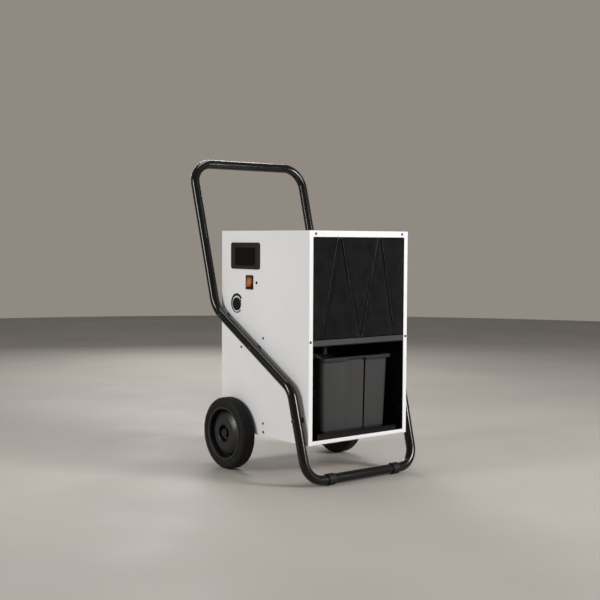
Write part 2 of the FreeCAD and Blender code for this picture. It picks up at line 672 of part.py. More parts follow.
def switch_frame():
    """Rocker switch body: bezel on the panel and a barrel behind it, hollow for the rocker."""
    bezel = plate("yz", rectangle(SWITCH, SWITCH_SIZE), 2, -SIDE - 3, -SIDE)
    barrel = plate("yz", rectangle(SWITCH, (SWITCH_SIZE[0] - 6.4, SWITCH_SIZE[1] - 6.4)), 1, -SIDE, -SIDE + 28)
    well = box(-SIDE - 4, -SIDE + 24, SWITCH[0] - ROCKER_HALF - 0.4, SWITCH[0] + ROCKER_HALF + 0.4,
               SWITCH[1] - ROCKER_R - 0.5, SWITCH[1] + ROCKER_R + 0.5)
    pins = rod((ROCKER_X, SWITCH[0] - ROCKER_HALF - 2, SWITCH[1]),
               (ROCKER_X, SWITCH[0] + ROCKER_HALF + 2, SWITCH[1]), 1.5)
    return fused([fused([bezel, barrel]).cut(well), pins])


def switch_rocker():
    """Rocker with two faces that meet over its pivot, tipped to its on position."""
    outline = [(-10.5, 18), (-7, 0), (-10.5, -18), (7, -10), (7, 10)]
    wedge = plate("xz", outline, 0, SWITCH[0] - ROCKER_HALF, SWITCH[0] + ROCKER_HALF)
    drum = rod((0, SWITCH[0] - 20, 0), (0, SWITCH[0] + 20, 0), ROCKER_R)
    bore = rod((0, SWITCH[0] - 20, 0), (0, SWITCH[0] + 20, 0), 1.5 + RUNNING)
    rocker = wedge.common(drum).cut(bore)
    rocker.rotate(Vector(), Vector(0, 1, 0), ROCKER_TILT)
    rocker.translate(Vector(ROCKER_X, 0, SWITCH[1]))
    return rocker


def indicator_lamp():
    """Small domed lens in the panel."""
    outline = [(0, -3), (2, -2.6), (LAMP_R, -0.8), (LAMP_R, 0), (LAMP_R - 1.1, 0), (LAMP_R - 1.1, 12), (0, 12)]
    return turned(outline, [0, 0, 0.4, 0, 0, 1, 0], "x", (-SIDE, *LAMP))


def humidistat_body():
    """Control body behind the panel with its bush and spindle."""
    x = -SIDE
    parts = [plate("yz", rectangle(KNOB, (44, 48)), 3, x + 6, x + 34),
             rod((x - 0.5, *KNOB), (x + 8, *KNOB), 5.5),
             rod((x - 2.5, *KNOB), (x + 8, *KNOB), 3)]
    return fused(parts)


def humidistat_knob():
    """Flat round knob, notched round its edge, with a pointer groove."""
    outline = [(3 + RUNNING, -2.8), (0, -2.8), (0, -KNOB_PROUD), (KNOB_R, -KNOB_PROUD), (KNOB_R, -0.7),
               (6.2, -0.7), (6.2, -1.6), (3 + RUNNING, -1.6)]
    knob = turned(outline, [0, 0, 0, 1.5, 0, 0, 0, 0], "x", (-SIDE, *KNOB))
    notches = []
    for i in range(KNOB_NOTCHES):
        angle = 2 * math.pi * (i + 0.5) / KNOB_NOTCHES
        y = KNOB[0] + (KNOB_R + 0.9) * math.cos(angle)
        z = KNOB[1] + (KNOB_R + 0.9) * math.sin(angle)
        notches.append(rod((-SIDE - KNOB_PROUD - 1, y, z), (-SIDE - 1.5, y, z), 1.6))
    mark = box(-SIDE - KNOB_PROUD - 1, -SIDE - KNOB_PROUD + 0.6, KNOB[0] - 0.8, KNOB[0] + 0.8,
               KNOB[1] + 9, KNOB[1] + KNOB_R - 3)
    return knob.cut(notches + [mark])


def dial_scale():
    """Crescent scale round the knob: widest at the top, open towards the front."""
    x = -SIDE
    y, z = KNOB
    disc = rod((x - 0.5, y + 1.5, z + 2.5), (x, y + 1.5, z + 2.5), DIAL_R)
    clear = rod((x - 2, y + 1.5, z), (x + 2, y + 1.5, z), DIAL_BORE_R)
    opening = plate("yz", [(y, z), (y - 50, z + 38), (y - 50, z - 55)], 0, x - 2, x + 2)
    tick = plate("yz", rectangle((y - 19, z + 11), (4, 5)), 1, x - 0.5, x)
    return group([disc.cut([clear, opening]), tick])


def power_inlet():
    """Three-pin appliance inlet in the rear panel."""
    x, z = INLET
    face = plate("xz", rectangle(INLET, (48, 30)), 4, REAR - SHEET, REAR + 2)
    barrel = plate("xz", rectangle(INLET, (27.6, 19.6)), 2, REAR - 24, REAR - SHEET)
    well = plate("xz", rectangle(INLET, (24, 16)), 2, REAR - 18, REAR + 3)
    pins = [box(x + dx - 1, x + dx + 1, REAR - 19, REAR - 4, z + dz - 2, z + dz + 2)
            for dx, dz in ((-7, -2), (0, 3), (7, -2))]
    return fused([fused([face, barrel]).cut(well)] + pins)


# Carrying frame --------------------------------------------------------------------------------

def along_upper(y):
    (y0, z0), (y1, z1) = LOW_BEND, HIGH_BEND
    return (y, z0 + (y - y0) * (z1 - z0) / (y1 - y0))


def along_lower(z):
    y1, z1 = LOW_BEND
    return (FOOT_Y + (z - FOOT_Z) * (y1 - FOOT_Y) / (z1 - FOOT_Z), z)


def tube_x(z):
    """Half the spacing of the legs, which draw in towards the foot bar."""
    share = min(1.0, (z - FOOT_Z) / (LOW_BEND[1] - FOOT_Z))
    return FOOT_X + (TUBE_X - FOOT_X) * share


def spacer_places():
    return [along_lower(SPACER_LOW_Z), along_upper(SPACER_MID_Y), along_upper(SPACER_HIGH_Y)]


def frame_bar(radius):
    """The bent bar from sleeve to sleeve: foot corners, both sides and the handle."""
    middle = (SLEEVE_IN + SLEEVE_OUT) / 2
    left = [(-middle, FOOT_Y, FOOT_Z), (-FOOT_X, FOOT_Y, FOOT_Z), (-TUBE_X, *LOW_BEND),
            (-TUBE_X, *HIGH_BEND), (-HANDLE_X, *HANDLE)]
    right = [(-x, y, z) for x, y, z in reversed(left)]
    bends = [0, FOOT_BEND_R, LOW_BEND_R, HIGH_BEND_R, HANDLE_BEND_R]
    return bent_bar(left + right, bends + bends[::-1], radius)


def frame_tube():
    holes = [rod((-SIDE - 50, y, z), (-SIDE, y, z), BOLT_R + 0.2) for y, z in spacer_places()]
    holes += [mirrored(hole) for hole in holes]
    return frame_bar(TUBE_R).cut([frame_bar(TUBE_R - TUBE_WALL)] + holes)


def foot_bar():
    middle = (SLEEVE_IN + SLEEVE_OUT) / 2 - 0.5
    bar = rod((-middle, FOOT_Y, FOOT_Z), (middle, FOOT_Y, FOOT_Z), TUBE_R)
    hollow = rod((-middle - 1, FOOT_Y, FOOT_Z), (middle + 1, FOOT_Y, FOOT_Z), TUBE_R - TUBE_WALL)
    return bar.cut(hollow)


def foot_sleeves():
    """Rubber sleeves over the two joints of the foot bar: the front feet."""
    outline = [(TUBE_R + RUNNING, SLEEVE_IN), (SLEEVE_R, SLEEVE_IN), (SLEEVE_R, SLEEVE_OUT),
               (TUBE_R + RUNNING, SLEEVE_OUT)]
    return both_sides(turned(outline, [0, 1, 1, 0], "x", (0, FOOT_Y, FOOT_Z)))


def frame_spacers():
    """Spacers between the casing and the tube, saddled to the tube's round side."""
    core = frame_bar(TUBE_R)
    spacers = []
    for y, z in spacer_places():
        bush = rod((-TUBE_X, y, z), (-SIDE, y, z), SPACER_R)
        bolt = rod((-TUBE_X, y, z), (-SIDE + 1, y, z), BOLT_R + 0.2)
        solid = bush.cut([core, bolt])
        spacers += [solid, mirrored(solid)]
    return group(spacers)


def frame_bolts():
    """Domed bolts through the tube and spacers, with a nut inside the panel."""
    bolts = []
    for y, z in spacer_places():
        outer = -tube_x(z) - TUBE_R
        head = turned([(0, -4), (4, -3.4), (7, -0.5), (7, 0), (0, 0)], [0, 0, 0, 0, 0], "x", (outer, y, z))
        shank = rod((outer, y, z), (-SIDE + 9, y, z), BOLT_R)
        nut = turned([(0, 0), (6, 0), (6, 5), (0, 5)], [0, 0, 1, 0], "x", (-INNER, y, z))
        bolt = fused([head, shank, nut])
        bolts += [bolt, mirrored(bolt)]
    return group(bolts)


# Running gear ------------------------------------------------------------------------------------

def axle():
    end = WHEEL_X + 17
    return rod((-end, WHEEL_Y, WHEEL_R), (end, WHEEL_Y, WHEEL_R), AXLE_R)


def axle_brackets():
    """Saddle blocks that hold the axle under the floor pan."""
    outline = [(WHEEL_Y - 18, CASE_BOTTOM), (WHEEL_Y + 18, CASE_BOTTOM), (WHEEL_Y + 14, 94), (WHEEL_Y - 14, 94)]
    block = plate("yz", outline, [0, 0, 8, 8], BRACKET_X, BRACKET_X + 24)
    bore = rod((0, WHEEL_Y, WHEEL_R), (SIDE, WHEEL_Y, WHEEL_R), AXLE_R)
    return both_sides(block.cut(bore))


def axle_washers():
    start = SIDE + 0.3
    end = WHEEL_X - BUSH_END
    outline = [(AXLE_R, start), (16, start), (16, end), (AXLE_R, end)]
    return both_sides(turned(outline, [0, 0.5, 0.5, 0], "x", (0, WHEEL_Y, WHEEL_R)))


def axle_clips():
    """Push-on caps that keep the wheels on the axle."""
    start = WHEEL_X + 9
    end = WHEEL_X + 17
    outline = [(AXLE_R, start), (14, start), (14, end + 3), (0, end + 4), (0, end), (AXLE_R, end)]
    return both_sides(turned(outline, [0, 0.8, 2.5, 0, 0, 0], "x", (0, WHEEL_Y, WHEEL_R)))


def tyre():
    edge = WHEEL_HALF
    bead = WHEEL_HALF - 3.6
    outline = [(BEAD_R, -bead), (RIM_R + 0.4, -bead), (93, -edge), (WHEEL_R, -edge), (WHEEL_R, edge),
               (93, edge), (RIM_R + 0.4, bead), (BEAD_R, bead)]
    return turned(outline, [0, 0, 4, SHOULDER_R, SHOULDER_R, 4, 0, 0], "x", (WHEEL_X, WHEEL_Y, WHEEL_R))


def rim():
    """Dished disc: outer ring, ring groove, raised dome and a deep hub recess."""
    well = BEAD_R - 4
    outline = [(BUSH_R, 4), (25, 4), (27, 21), (48, 19.5), (67, 11), (72, 0), (well - 1, 0), (well, 21.5),
               (RIM_R, 22.5), (RIM_R, 20.5), (BEAD_R, 20.5), (BEAD_R, -20.5), (RIM_R, -20.5),
               (RIM_R, -22.5), (well, -22.5), (well, -4), (69, -4), (64, 7), (47, 15), (31, 16.5),
               (31, 0), (22, 0), (22, -21), (BUSH_R, -21)]
    radii = [0, 2, 3, 24, 6, 1.5, 1, 1.4, 0.8, 0, 0, 0, 0, 0.8, 0, 2, 2, 4, 16, 2, 0, 0, 1, 0]
    return turned(outline, radii, "x", (WHEEL_X, WHEEL_Y, WHEEL_R))


def wheel_bush():
    outline = [(AXLE_R + RUNNING, -BUSH_END), (14, -BUSH_END), (14, -21), (BUSH_R, -21), (BUSH_R, 7),
               (AXLE_R + RUNNING, 7)]
    return turned(outline, [0] * 6, "x", (WHEEL_X, WHEEL_Y, WHEEL_R))


# Fasteners -----------------------------------------------------------------------------------------

def pan_screw(direction, centre):
    """Pan-head screw with a cross recess, pointing out along the direction given."""
    outline = [(0, -7), (1.9, -7), (1.9, 0), (4, 0), (4, 1), (2.6, 2.2), (0, 2.5)]
    screw = turned(outline, [0, 0, 0, 0, 0.5, 1, 0], "z", (0, 0, 0))
    slot = fused([box(-2.2, 2.2, -0.4, 0.4, 1.3, 4), box(-0.4, 0.4, -2.2, 2.2, 1.3, 4)])
    screw = screw.cut(slot)
    screw.Placement = FreeCAD.Placement(Vector(*centre), FreeCAD.Rotation(Vector(0, 0, 1), Vector(*direction)))
    return screw


def front_screws():
    lid = CASE_TOP - 9
    places = [(-174, lid), (174, lid), (-SIDE + 8, RAIL_MIDDLE), (SIDE - 8, RAIL_MIDDLE)]
    return group([pan_screw((0, -1, 0), (x, FRONT, z)) for x, z in places])


def panel_screws():
    """The screws of both side panels and of the rear panel."""
    screws = [pan_screw((0, 1, 0), (x, REAR - SHEET, z)) for x, z in REAR_SCREWS]
    for y, z in SIDE_SCREWS:
        screws.append(pan_screw((-1, 0, 0), (-SIDE, y, z)))
        screws.append(pan_screw((1, 0, 0), (SIDE, y, z)))
    return group(screws)


RAIL_MIDDLE = (RAIL_LOW + RAIL_HIGH) / 2 + 4
SIDE_SCREWS = [(-56.5, 421.5), (56.0, 386.0), (-57.4, 158.8), (-59.0, 132.0)]
REAR_SCREWS = [(x, z) for x in (-170, 170) for z in (140, 340, 730)]
SUMP = (-150.0, -72.0, -232.0, -195.0)
SPOUT = (-90.0, -213.0)
FLOAT_Y = BUCKET_BACK - 14
FLOAT_Z = BUCKET_TOP - 14
ROCKER_X = -SIDE + 4
ROCKER_R = 17.0
ROCKER_HALF = 13.0
ROCKER_TILT = 9.0

PIECES = {
    "side_panel_left": side_panel_left, "side_panel_right": side_panel_right, "top_panel": top_panel,
    "rear_panel": rear_panel, "base_pan": base_pan, "filter_rail": filter_rail, "bay_deck": bay_deck,
    "bay_liner": bay_liner, "bucket_shelf": bucket_shelf,
    "filter_foam": filter_foam, "filter_frame": filter_frame, "filter_wire": filter_wire,
    "bucket": bucket, "bucket_float": bucket_float, "float_pin": float_pin, "level_switch": level_switch,
    "evaporator_fins": lambda: fins(EVAPORATOR_Y), "condenser_fins": lambda: fins(CONDENSER_Y),
    "coil_tubes": coil_tubes, "coil_plates": coil_plates, "drip_tray": drip_tray,
    "compressor": compressor, "compressor_mounts": compressor_mounts,
    "refrigerant_pipes": refrigerant_pipes, "drier_and_capillary": drier_and_capillary,
    "fan_motor": fan_motor, "fan_bracket": fan_bracket, "fan_rotor": fan_rotor, "fan_shroud": fan_shroud,
    "outlet_guard": outlet_guard,
    "control_box": control_box, "circuit_board": circuit_board, "run_capacitor": run_capacitor,
    "display_bezel": display_bezel, "display_window": display_window, "display_module": display_module,
    "switch_frame": switch_frame, "switch_rocker": switch_rocker, "indicator_lamp": indicator_lamp,
    "humidistat_body": humidistat_body, "humidistat_knob": humidistat_knob, "dial_scale": dial_scale,
    "power_inlet": power_inlet,
    "frame_tube": frame_tube, "foot_bar": foot_bar, "foot_sleeves": foot_sleeves,
    "frame_spacers": frame_spacers, "frame_bolts": frame_bolts,
    "axle": axle, "axle_brackets": axle_brackets, "axle_washers": axle_washers, "axle_clips": axle_clips,
    "front_screws": front_screws, "panel_screws": panel_screws,
}
for name, make in (("tyre", tyre), ("wheel", rim), ("wheel_bush", wheel_bush)):
    PIECES[name + "_right"] = make
    PIECES[name + "_left"] = lambda make=make: mirrored(make())

os.makedirs("parts", exist_ok=True)
for name, make in PIECES.items():
    shape = make()
    if not shape.isValid() or shape.Volume <= 0:
        print("CHECK", name, "valid", shape.isValid(), "volume", round(shape.Volume, 1))
    shape.exportStep("parts/" + name + ".step")
print(len(PIECES), "nodes")
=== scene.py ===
import json
import math

import bmesh
import bpy
from mathutils import Matrix, Vector, noise


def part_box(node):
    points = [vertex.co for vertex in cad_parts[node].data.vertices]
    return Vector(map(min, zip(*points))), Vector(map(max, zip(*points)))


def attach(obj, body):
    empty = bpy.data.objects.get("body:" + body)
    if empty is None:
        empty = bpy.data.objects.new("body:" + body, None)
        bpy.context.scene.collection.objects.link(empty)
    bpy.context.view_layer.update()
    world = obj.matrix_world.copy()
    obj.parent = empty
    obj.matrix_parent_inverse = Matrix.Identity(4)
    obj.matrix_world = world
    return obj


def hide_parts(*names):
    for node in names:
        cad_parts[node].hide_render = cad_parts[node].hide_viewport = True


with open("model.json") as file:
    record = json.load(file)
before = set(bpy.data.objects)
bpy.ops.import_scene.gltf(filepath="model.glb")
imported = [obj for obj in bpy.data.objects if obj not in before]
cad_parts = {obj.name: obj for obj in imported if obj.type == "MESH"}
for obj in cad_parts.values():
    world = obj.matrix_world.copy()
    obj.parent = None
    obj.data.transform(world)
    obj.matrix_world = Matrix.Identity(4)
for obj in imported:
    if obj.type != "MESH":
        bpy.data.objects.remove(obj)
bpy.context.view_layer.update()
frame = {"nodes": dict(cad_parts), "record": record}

MM = 0.001

# A portable dehumidifier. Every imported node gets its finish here, and the bent tubes, the wheels, the
# bucket shelf and the foam pad are drawn anew as pieces that stand for their nodes.

# Small tools ---------------------------------------------------------------------------------


def colour(code):
    """sRGB hex to linear RGBA."""
    channels = [int(code[i:i + 2], 16) / 255 for i in (0, 2, 4)]
    linear = [c / 12.92 if c <= 0.04045 else ((c + 0.055) / 1.055) ** 2.4 for c in channels]
    return (*linear, 1.0)


# Places of a colour Mix node's two inputs and of its result: its other kinds of socket share their names.
MIX_A = 6
MIX_B = 7
MIX_RESULT = 2


def add(tree, kind, settings=None, links=None):
    """Adds a node.

    Settings are its properties or the values of its inputs, and links join its inputs to sockets.
    """
    made = tree.nodes.new("ShaderNode" + kind)
    for name, value in (settings or {}).items():
        if isinstance(name, str) and hasattr(made, name):
            setattr(made, name, value)
        else:
            made.inputs[name].default_value = value
    for name, socket in (links or {}).items():
        tree.links.new(socket, made.inputs[name])
    return made


def finish(name, settings):
    """A material with one Principled shader. Returns (material, its tree, the shader)."""
    material = bpy.data.materials.new(name)
    material.use_nodes = True
    tree = material.node_tree
    shader = tree.nodes["Principled BSDF"]
    for key, value in settings.items():
        shader.inputs[key].default_value = value
    return material, tree, shader


def set_stops(ramp, stops):
    """Gives a ramp's two stops their places and colours."""
    for element, (at, code) in zip(ramp.color_ramp.elements, stops):
        element.position = at
        element.color = colour(code)


def surface(name, settings, tones, patch_mm, rough, mark_mm, relief_mm=(0, 0), stretch=(1, 1, 1)):
    """The make-up of a plain finish, all on object coordinates.

    Two tones lie in soft patches of patch_mm. The roughness wanders from rough[0] to rough[1] in marks
    of mark_mm. The relief is a grain relief_mm[0] across and relief_mm[1] deep, and stretch scales all
    of it along each axis.
    """
    material, tree, shader = finish(name, settings)
    place = add(tree, "TexCoord").outputs["Object"]
    place = add(tree, "Mapping", {"Scale": stretch}, {"Vector": place}).outputs["Vector"]
    patches = add(tree, "TexNoise", {"Scale": 1 / (patch_mm * MM), "Detail": 4.0}, {"Vector": place})
    blend = add(tree, "ValToRGB", links={"Fac": patches.outputs["Fac"]})
    set_stops(blend, zip((0.32, 0.72), tones))
    tree.links.new(blend.outputs["Color"], shader.inputs["Base Color"])
    marks = add(tree, "TexNoise", {"Scale": 1 / (mark_mm * MM), "Detail": 4.0}, {"Vector": place})
    limits = {"From Min": 0.3, "From Max": 0.7, "To Min": rough[0], "To Max": rough[1]}
    wander = add(tree, "MapRange", limits, {"Value": marks.outputs["Fac"]})
    tree.links.new(wander.outputs["Result"], shader.inputs["Roughness"])
    if relief_mm[0]:
        grain = add(tree, "TexNoise", {"Scale": 1 / (relief_mm[0] * MM), "Detail": 2.0}, {"Vector": place})
        bump = add(tree, "Bump", {"Distance": relief_mm[1] * MM, "Strength": 0.6},
                   {"Height": grain.outputs["Fac"]})
        tree.links.new(bump.outputs["Normal"], shader.inputs["Normal"])
    return material


# Materials -----------------------------------------------------------------------------------

def white_powder_coat():
    """Steel sheet, sprayed and baked: a semi-gloss off-white skin with a faint orange peel."""
    return surface("powder_coated_steel_white", {"IOR": 1.5}, ("eaeaea", "efefef"), 160,
                   (0.36, 0.46), 25, (1.6, 0.012))


def graphite_powder_coat():
    """Steel folded and powder coated dark grey: satin, slightly sandy."""
    return surface("powder_coated_steel_graphite", {"IOR": 1.45}, ("2b2b2c", "323233"), 60,
                   (0.48, 0.62), 12, (0.9, 0.04))


def black_liner_paint_and_shade():
    """Steel dipped in black primer: matt and even, with a faint grain. Its near black is partly that primer
    and partly painted shade for the dark inside of the bay.
    """
    # Partly painted shade: the near-black tones (060606, 0a0a0a) also stand for the shade deep inside the
    # bay.
    return surface("primed_steel_black_and_painted_shade", {"IOR": 1.4, "Specular IOR Level": 0.3}, ("060606", "0a0a0a"),
                   90, (0.6, 0.8), 20, (1.2, 0.03))


def gloss_black_enamel():
    """Steel tube in stoved gloss enamel: near black, mirror-like, with light handling marks."""
    return surface("stoved_enamel_tube_black", {"IOR": 1.5, "Specular IOR Level": 0.4},
                   ("030303", "060606"), 70, (0.15, 0.22), 60)


def shelf_enamel():
    """Folded shelf in thin stoved enamel: black, with a bright line where its edge turns down."""
    return surface("stoved_enamel_sheet_black", {"IOR": 1.5, "Specular IOR Level": 0.22},
                   ("020202", "040404"), 60, (0.12, 0.18), 30)


def knob_phenolic():
    """Moulded phenolic knob: dense black with a dull polish."""
    return surface("moulded_phenolic_black", {"IOR": 1.5, "Specular IOR Level": 0.25},
                   ("050505", "0a0a0a"), 14, (0.34, 0.46), 5, (0.7, 0.02))


def tyre_rubber():
    """Solid moulded rubber: matt black, a little grey with dust in patches."""
    return surface("moulded_tyre_rubber", {"IOR": 1.45, "Specular IOR Level": 0.35},
                   ("0a0a0a", "131312"), 35, (0.6, 0.85), 8, (1.4, 0.1))


def soft_rubber():
    """Moulded rubber sleeve or grommet: black, matt, fine texture."""
    return surface("moulded_soft_rubber", {"IOR": 1.45, "Specular IOR Level": 0.35},
                   ("101010", "191818"), 18, (0.55, 0.75), 6, (0.8, 0.05))


def nylon_rim():
    """Injection-moulded nylon wheel disc: satin black with a leathery mould texture."""
    return surface("moulded_nylon_black", {"IOR": 1.5}, ("0b0b0b", "141414"), 26,
                   (0.28, 0.44), 7, (2.2, 0.06))


def textured_abs():
    """ABS with a spark-eroded texture: black control parts, dull and slightly grainy."""
    return surface("spark_textured_abs_black", {"IOR": 1.45, "Specular IOR Level": 0.4},
                   ("101010", "171717"), 22, (0.42, 0.56), 5, (0.7, 0.04))


def bucket_polypropylene():
    """Polypropylene bucket, injection moulded: charcoal grey, silky, its turned rim painted darker as
    painted shade.
    """
    material = surface("moulded_polypropylene_charcoal", {"IOR": 1.45, "Specular IOR Level": 0.4},
                       ("2d2d2d", "363636"), 60, (0.48, 0.6), 14, (0.9, 0.04), stretch=(1, 1, 0.15))
    tree = material.node_tree
    shader = tree.nodes["Principled BSDF"]
    body = shader.inputs["Base Color"].links[0].from_socket
    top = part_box("bucket")[1][2]
    # Painted shade: the rim's top band is blended to near black (141414) to stand for the shade that the
    # deck above casts on it; the body below keeps its own charcoal tones.
    rim_painted_shade_limits = {"From Min": top - 13 * MM, "From Max": top - 9.5 * MM}
    place = add(tree, "TexCoord").outputs["Object"]
    height = add(tree, "SeparateXYZ", links={"Vector": place}).outputs["Z"]
    rim = add(tree, "MapRange", rim_painted_shade_limits, {"Value": height})
    tone = add(tree, "Mix", {"data_type": "RGBA", MIX_B: colour("141414")},
               {"Factor": rim.outputs["Result"], MIX_A: body})
    tree.links.new(tone.outputs[MIX_RESULT], shader.inputs["Base Color"])
    return material


def reticulated_foam():
    """Open-cell polyurethane air filter foam: matt black, pores drawn at 2.4 mm so that they show."""
    material, tree, shader = finish("reticulated_foam_black", {
        "Roughness": 1.0, "IOR": 1.3, "Specular IOR Level": 0.1,
        "Sheen Weight": 0.05, "Sheen Roughness": 0.6})
    place = add(tree, "TexCoord").outputs["Object"]
    cells = add(tree, "TexVoronoi", {"feature": "DISTANCE_TO_EDGE", "Scale": 1 / (2.4 * MM)},
                {"Vector": place})
    strand = add(tree, "MapRange", {"From Max": 0.22}, {"Value": cells.outputs["Distance"]})
    pores = strand.outputs["Result"]
    dust = add(tree, "TexNoise", {"Scale": 1 / (38 * MM), "Detail": 6.0}, {"Vector": place})
    strands = add(tree, "ValToRGB", links={"Fac": dust.outputs["Fac"]})
    set_stops(strands, ((0.35, "151515"), (0.72, "252525")))
    base = add(tree, "Mix", {"data_type": "RGBA", MIX_B: colour("080808")},
               {"Factor": pores, MIX_A: strands.outputs["Color"]})
    tree.links.new(base.outputs[MIX_RESULT], shader.inputs["Base Color"])
    relief = add(tree, "Bump", {"Distance": 0.7 * MM, "Strength": 0.7, "invert": True}, {"Height": pores})
    tree.links.new(relief.outputs["Normal"], shader.inputs["Normal"])
    return material


def spring_wire():
    """Oiled spring steel wire: dark with a soft bright line."""
    return surface("oiled_spring_steel", {"Metallic": 0.8}, ("2a2a2a", "4a4a4a"), 12, (0.3, 0.45), 6)


def galvanised_steel():
    """Hot-dip galvanised sheet: pale grey metal with broad spangles of differing brightness."""
    material, tree, shader = finish("galvanised_steel", {"Roughness": 0.4, "Metallic": 1.0})
    place = add(tree, "TexCoord").outputs["Object"]
    spangle = add(tree, "TexVoronoi", {"Scale": 1 / (9 * MM)}, {"Vector": place})
    level = add(tree, "SeparateColor", links={"Color": spangle.outputs["Color"]})
    tone = add(tree, "ValToRGB", links={"Fac": level.outputs["Red"]})
    set_stops(tone, ((0.0, "8e9194"), (1.0, "b9bcbf")))
    tree.links.new(tone.outputs["Color"], shader.inputs["Base Color"])
    return material


def zinc_steel():
    """Bright zinc-plated steel bar: smooth grey metal with small duller marks."""
    return surface("zinc_plated_steel", {"Metallic": 1.0}, ("9a9c9f", "b4b6b8"), 15, (0.26, 0.42), 4)


def black_zinc_screw():
    """Steel screw, zinc plated and passivated dark: grey metal with a soft shine."""
    return surface("passivated_steel_screw", {"Metallic": 0.85}, ("3c3c3d", "5c5c5d"), 3, (0.3, 0.48), 1.5)


def copper_tube():
    """Drawn copper tube, handled and a little oxidised: warm metal with brown patches."""
    return surface("drawn_copper", {"Metallic": 1.0}, ("8a5236", "c07a54"), 14, (0.24, 0.45), 6)


def aluminium_fins():
    """Rolled aluminium fin stock: thin, bright and slightly brushed."""
    return surface("rolled_aluminium", {"Metallic": 1.0}, ("b4b7ba", "cdd0d2"), 8, (0.28, 0.45), 8,
                   stretch=(1, 1, 0.1))


def compressor_enamel():
    """Pressed steel shell in black air-dried enamel: glossy with slight sags."""
    return surface("air_dried_enamel_black", {"IOR": 1.5}, ("0d0d0f", "161618"), 40,
                   (0.2, 0.34), 20, (14, 0.1))


def circuit_laminate():
    """Glass-epoxy board with green solder resist: glossy green with faint streaks."""
    return surface("solder_resist_green", {"IOR": 1.55}, ("17462b", "1f5a37"), 6, (0.25, 0.35), 5,
                   stretch=(1, 6, 1))


def smoked_acrylic():
    """Cast acrylic window over a dark display: glossy near-black."""
    return surface("smoked_acrylic", {"IOR": 1.49, "Specular IOR Level": 0.15}, ("020202", "040404"), 50,
                   (0.1, 0.16), 10)


def amber_polycarbonate():
    """Translucent polycarbonate rocker over a neon lamp: orange, painted lighter towards its middle as a
    painted highlight, with a faint emission as a painted glow.
    """
    material, tree, shader = finish("amber_polycarbonate", {
        "Roughness": 0.22, "IOR": 1.58, "Emission Strength": 0.12, "Subsurface Weight": 0.2,
        "Subsurface Radius": (0.006, 0.002, 0.001), "Subsurface Scale": 0.5})
    low, high = (Vector(c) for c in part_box("switch_rocker"))
    middle = (low + high) / 2
    place = add(tree, "TexCoord").outputs["Object"]
    # Painted highlight: the orange is lighter (c8782c) near the rocker's middle and browner (7c3416)
    # towards its edges, and the same colour feeds a faint emission as a painted glow.
    painted_highlight_reach = (high - low).z * 0.6
    near = add(tree, "VectorMath", {"operation": "DISTANCE", 1: middle}, {0: place}).outputs["Value"]
    painted_highlight = add(tree, "MapRange", {"From Max": painted_highlight_reach}, {"Value": near}).outputs["Result"]
    tint = add(tree, "ValToRGB", links={"Fac": painted_highlight})
    set_stops(tint, ((0.15, "c8782c"), (1.0, "7c3416")))
    tree.links.new(tint.outputs["Color"], shader.inputs["Base Color"])
    tree.links.new(tint.outputs["Color"], shader.inputs["Emission Color"])
    return material


def lamp_lens():
    """Small acrylic lamp lens, unlit: glossy dark."""
    return surface("acrylic_lamp_lens", {"IOR": 1.49}, ("0d0d0e", "161415"), 4, (0.1, 0.16), 3)


def screen_ink():
    """Screen-printed ink on the coat: flat black, a touch uneven."""
    return surface("screen_print_ink", {"IOR": 1.45}, ("080808", "0e0e0e"), 3, (0.5, 0.6), 4)


def pale_nylon():
    """Natural nylon: creamy white, waxy, slightly translucent."""
    return surface("natural_nylon", {"IOR": 1.53, "Subsurface Weight": 0.15, "Subsurface Scale": 0.3,
                                     "Subsurface Radius": (0.003, 0.003, 0.002)},
                   ("cfcdc4", "dedcd4"), 12, (0.4, 0.5), 8)


def matt_studio_floor():
    """Painted studio floor: pale warm grey, matt, with broad faint patches."""
    return surface("matt_studio_floor", {"Specular IOR Level": 0.3}, ("a8a29c", "b2aca5"), 900,
                   (0.6, 0.8), 300)


NATURAL_NYLON = pale_nylon()
GALVANISED = galvanised_steel()
SHELF_ENAMEL = shelf_enamel()

MATERIALS = {
    "white_coat": white_powder_coat(),
    "dark_coat": graphite_powder_coat(),
    "liner_coat": black_liner_paint_and_shade(),
    "tube_coat": gloss_black_enamel(),
    "filter_foam": reticulated_foam(),
    "black_plastic": textured_abs(),
    "bucket_plastic": bucket_polypropylene(),
    "rim_plastic": nylon_rim(),
    "window": smoked_acrylic(),
    "orange_lens": amber_polycarbonate(),
    "lamp_lens": lamp_lens(),
    "tyre_rubber": tyre_rubber(),
    "soft_rubber": soft_rubber(),
    "zinc_steel": zinc_steel(),
    "dark_screw": black_zinc_screw(),
    "spring_steel": spring_wire(),
    "copper": copper_tube(),
    "aluminium_fin": aluminium_fins(),
    "compressor_coat": compressor_enamel(),
    "board": circuit_laminate(),
    "capacitor_case": NATURAL_NYLON,
    "printed_scale": screen_ink(),
    "pale_plastic": NATURAL_NYLON,
}

# Nodes whose finish isn't the one that their slot has elsewhere.
OWN_FINISH = {
    "coil_plates": GALVANISED,
    "control_box": GALVANISED,
    "fan_bracket": GALVANISED,
    "humidistat_knob": knob_phenolic(),
}


def dress_frame():
    """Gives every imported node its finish."""
    slots = {part["node"]: part["material_slot"] for part in frame["record"]["subparts"]}
    for name, piece in frame["nodes"].items():
        piece.data.materials.clear()
        piece.data.materials.append(OWN_FINISH.get(name) or MATERIALS[slots[name]])


dress_frame()

# Pieces --------------------------------------------------------------------------------------

WELD = 0.01 * MM
SHARP_ANGLE = math.radians(38)


def size_of(node):
    """Middle and half size of a node's box."""
    low, high = (Vector(c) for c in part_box(node))
    return (low + high) / 2, (high - low) / 2


